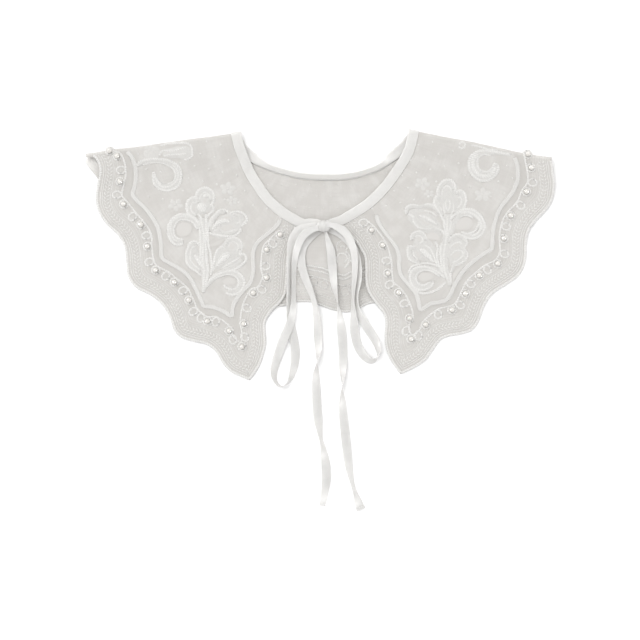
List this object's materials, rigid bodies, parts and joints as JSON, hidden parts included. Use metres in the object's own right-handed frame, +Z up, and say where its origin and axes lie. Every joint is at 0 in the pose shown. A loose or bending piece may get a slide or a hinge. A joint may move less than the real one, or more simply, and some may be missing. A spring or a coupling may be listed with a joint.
{
  "type": "detachable collar",
  "caption": "Embroidered sheer organza collar with scalloped edge, pearls and a ribbon tie, laid flat and folded over at the shoulders.",
  "frame": {"origin": "on the surface it lies on, under the middle of the collar's outline without the free ribbons", "axes": "+X across the collar from the left of the picture to the right, +Y up the picture towards the shoulder folds, +Z up from the surface"},
  "size_m": [0.4444, 0.3626, 0.0125],
  "materials": {
    "organza": "sheer, soft sheen",
    "satin_ribbon": "soft satin",
    "satin_thread": "satin stitch",
    "pearl": "pearly gloss"
  },
  "bodies": {
    "root": {"collar_cloth": "organza", "corded_line_left": "satin_thread", "corded_line_right": "satin_thread", "leaf_low_left": "satin_thread", "leaf_low_left_front": "satin_thread", "leaf_low_right": "satin_thread", "leaf_low_right_front": "satin_thread", "leaf_mid_left": "satin_thread", "leaf_mid_right": "satin_thread", "loop_left": "satin_ribbon", "loop_right": "satin_ribbon", "neck_binding": "satin_ribbon", "pearl_left_01": "pearl", "pearl_left_02": "pearl", "pearl_left_03": "pearl", "pearl_left_04": "pearl", "pearl_left_05": "pearl", "pearl_left_06": "pearl", "pearl_left_07": "pearl", "pearl_left_08": "pearl", "pearl_left_09": "pearl", "pearl_left_10": "pearl", "pearl_left_11": "pearl", "pearl_left_12": "pearl", "pearl_left_13": "pearl", "pearl_left_14": "pearl", "pearl_left_15": "pearl", "pearl_left_16": "pearl", "pearl_left_17": "pearl", "pearl_right_01": "pearl", "pearl_right_02": "pearl", "pearl_right_03": "pearl", "pearl_right_04": "pearl", "pearl_right_05": "pearl", "pearl_right_06": "pearl", "pearl_right_07": "pearl", "pearl_right_08": "pearl", "pearl_right_09": "pearl", "pearl_right_10": "pearl", "pearl_right_11": "pearl", "pearl_right_12": "pearl", "pearl_right_13": "pearl", "pearl_right_14": "pearl", "pearl_right_15": "pearl", "pearl_right_16": "pearl", "scroll_low_left": "satin_thread", "scroll_low_right": "satin_thread", "shoulder_scroll_left": "satin_thread", "shoulder_scroll_right": "satin_thread", "stem_left": "satin_thread", "stem_right": "satin_thread", "tail_left": "satin_ribbon", "tail_right": "satin_ribbon", "tie_knot": "satin_ribbon", "trefoil_left": "satin_thread", "trefoil_right": "satin_thread", "volute_left": "satin_thread", "volute_right": "satin_thread"}
  },
  "joints": []
}
